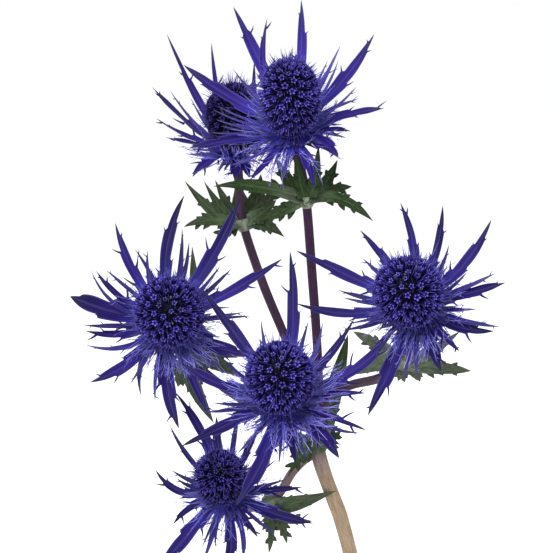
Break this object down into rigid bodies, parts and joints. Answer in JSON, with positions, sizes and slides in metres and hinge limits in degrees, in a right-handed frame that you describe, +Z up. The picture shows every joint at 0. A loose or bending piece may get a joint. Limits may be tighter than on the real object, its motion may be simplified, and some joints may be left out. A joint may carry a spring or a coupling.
{
  "type": "sea holly flower spray in a glass bottle",
  "caption": "Cut spray of blue sea holly with egg-shaped flower heads, spiny bracts and toothed leaves, on one branching stem that stands in a clear glass bottle of water.",
  "frame": {"origin": "centre of the bottle's flat base", "axes": "+Z up the bottle's axis, -Y towards the front of the spray, +X to the right of that front view"},
  "size_m": [0.1489, 0.1232, 0.3515],
  "materials": {
    "glass": "gloss",
    "water": "gloss",
    "stem": "satin",
    "leaf": "satin",
    "bract": "satin",
    "floret": "matte"
  },
  "bodies": {
    "root": {"bottle": "glass", "water": "water", "stem": "stem", "leaves_fork": "leaf", "leaves_top": "leaf", "leaves_back": "leaf", "leaves_left": "leaf", "leaves_right": "leaf", "leaves_low": "leaf", "bracts_front": "bract", "bracts_left": "bract", "bracts_right": "bract", "bracts_top": "bract", "bracts_back": "bract", "bracts_low": "bract", "cone_front": "floret", "cone_left": "floret", "cone_right": "floret", "cone_top": "floret", "cone_back": "floret", "cone_low": "floret"}
  },
  "joints": []
}
